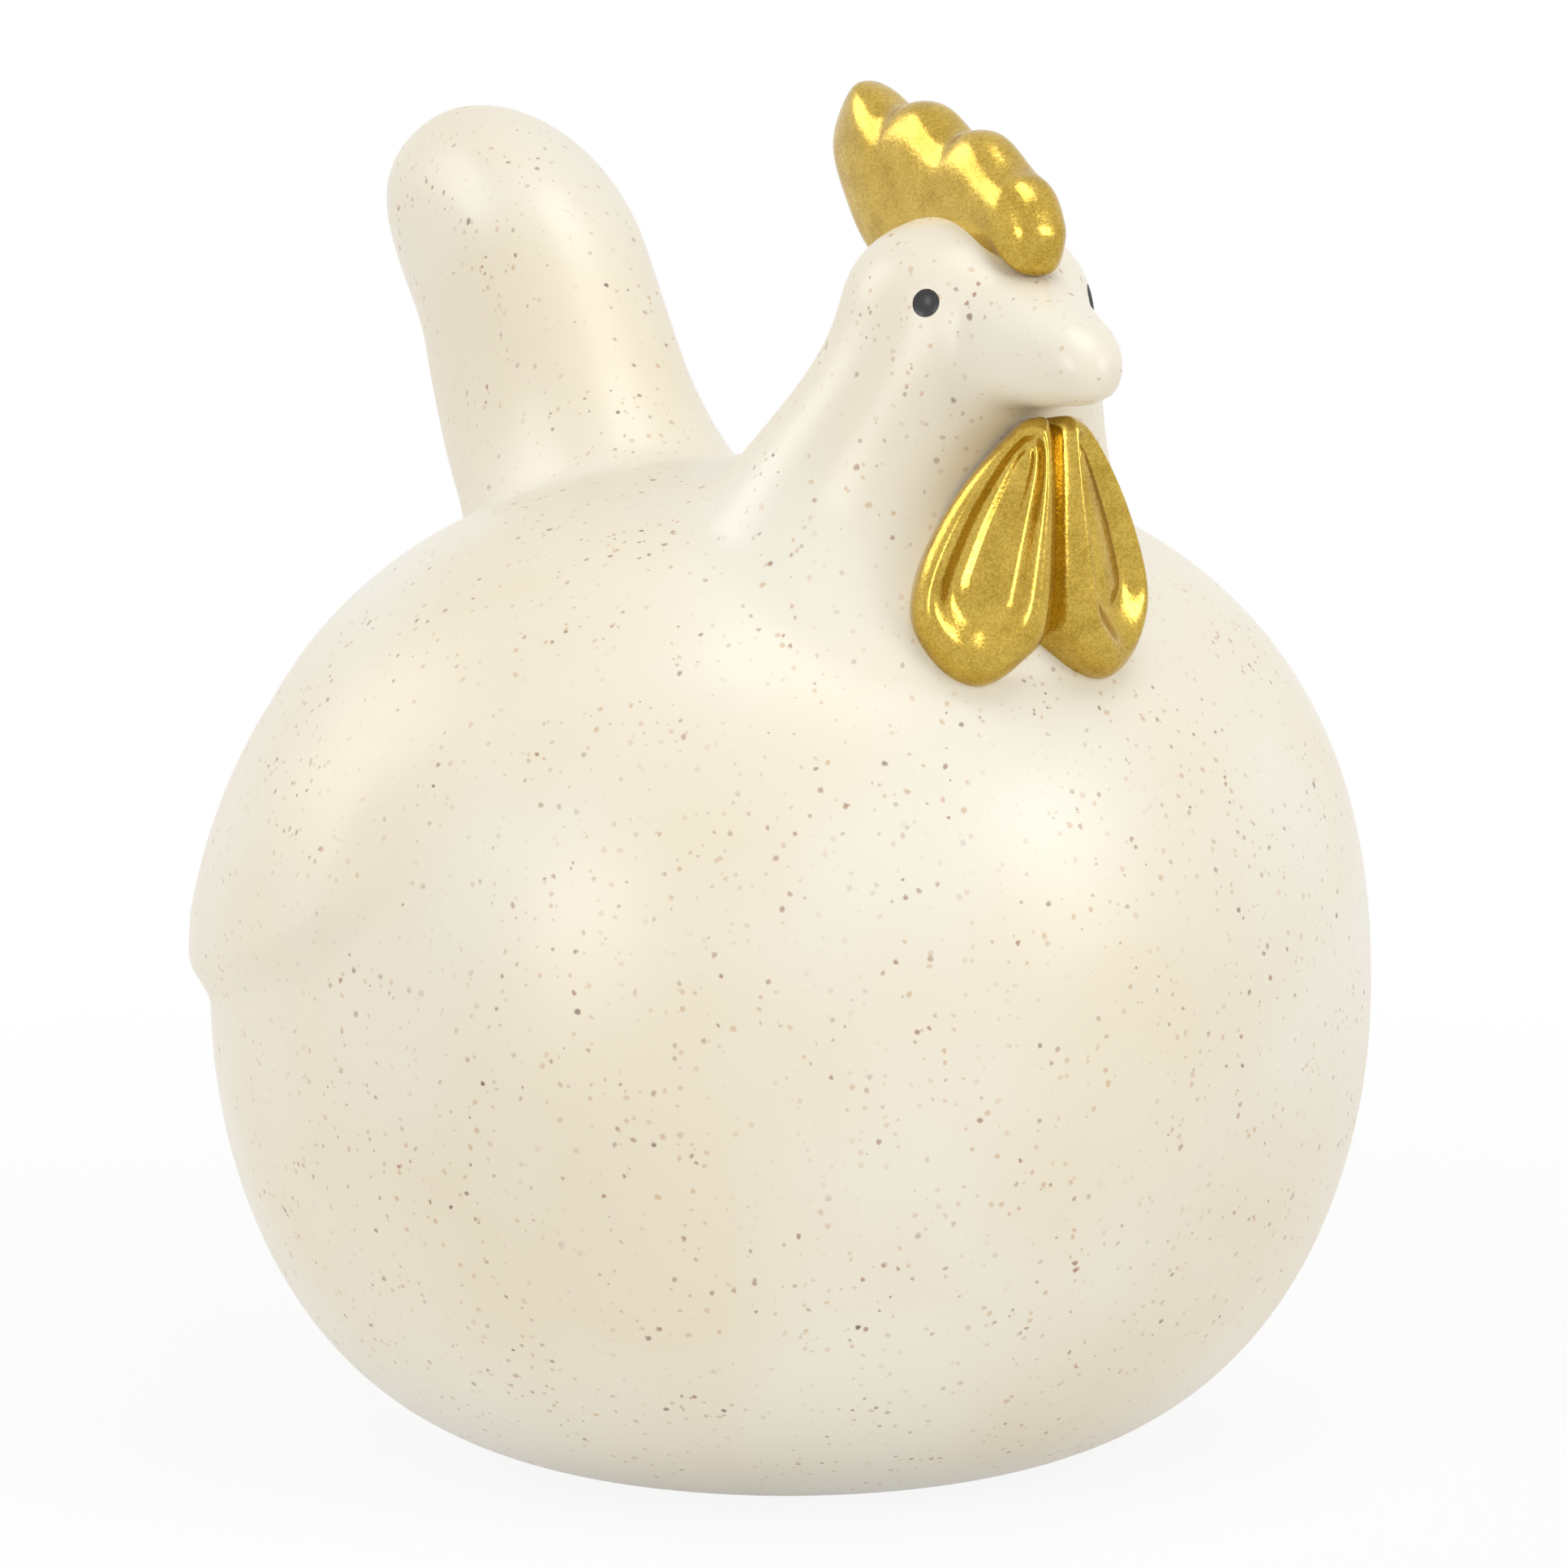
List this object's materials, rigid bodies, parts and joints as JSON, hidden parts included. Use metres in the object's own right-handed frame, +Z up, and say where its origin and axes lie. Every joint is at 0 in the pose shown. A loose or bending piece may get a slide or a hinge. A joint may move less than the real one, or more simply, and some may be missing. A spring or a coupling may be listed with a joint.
{
  "type": "hen figurine",
  "caption": "Round hollow ceramic hen that stands on a flat foot, with upright tail, raised comb, hanging wattles and soft wing relief.",
  "frame": {"origin": "centre of the bounding box at the height of the foot", "axes": "+Z up, -Y the way the beak points, +X the hen's left side"},
  "size_m": [0.1046, 0.1194, 0.1201],
  "materials": {
    "glaze": "satin speckled cream glaze, gold lustre paint on comb and wattles, black paint in the eyes"
  },
  "bodies": {
    "root": {"hen": "glaze"}
  },
  "joints": []
}
